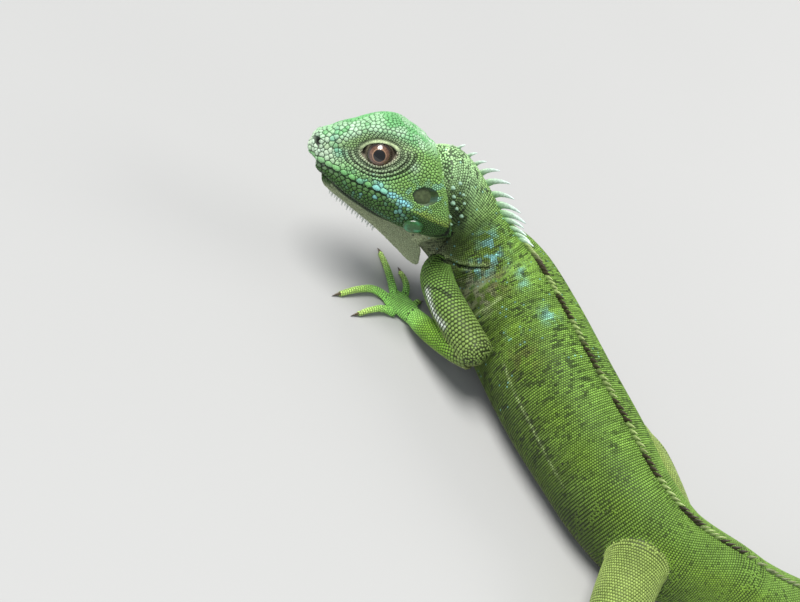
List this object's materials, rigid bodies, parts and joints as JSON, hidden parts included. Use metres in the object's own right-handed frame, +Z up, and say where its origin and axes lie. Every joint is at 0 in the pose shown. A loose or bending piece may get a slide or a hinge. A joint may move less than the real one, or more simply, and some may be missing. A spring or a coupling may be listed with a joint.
{
  "type": "green iguana, young, still model",
  "caption": "Young green iguana lying low on its belly, neck raised and head turned to its left, left arm folded, long tail laid in a curve.",
  "frame": {"origin": "on the floor under the pelvis, where the belly rests", "axes": "+Z up, +X from the head towards the tail along the level trunk, -Y towards the animal's left side"},
  "size_m": [0.572, 0.2685, 0.0623],
  "materials": {
    "trunk_skin": "satin, fine scales",
    "tail_skin": "satin, keeled scales in rings",
    "limb_skin": "satin, bead-like scales",
    "foot_skin": "satin, with dark brown claws",
    "head_skin": "satin plates and granules",
    "dewlap_skin": "soft, matt",
    "eye": "wet gloss",
    "eardrum": "thin, slightly shiny",
    "cheek_shield": "smooth plate with a turquoise sheen"
  },
  "bodies": {
    "root": {"pelvis": "trunk_skin", "trunk_rear": "trunk_skin", "trunk_front": "trunk_skin", "neck": "trunk_skin", "lower_jaw": "trunk_skin", "tail_1": "tail_skin", "tail_2": "tail_skin", "tail_3": "tail_skin", "tail_4": "tail_skin", "tail_5": "tail_skin", "tail_6": "tail_skin", "upper_arm_left": "limb_skin", "forearm_left": "limb_skin", "thigh_left": "limb_skin", "shank_left": "limb_skin", "hand_left": "foot_skin", "foot_left": "foot_skin", "eye_left": "eye", "eardrum_left": "eardrum", "cheek_shield_left": "cheek_shield", "upper_arm_right": "limb_skin", "forearm_right": "limb_skin", "thigh_right": "limb_skin", "shank_right": "limb_skin", "hand_right": "foot_skin", "foot_right": "foot_skin", "eye_right": "eye", "eardrum_right": "eardrum", "cheek_shield_right": "cheek_shield", "head": "head_skin", "dewlap": "dewlap_skin"}
  },
  "joints": []
}
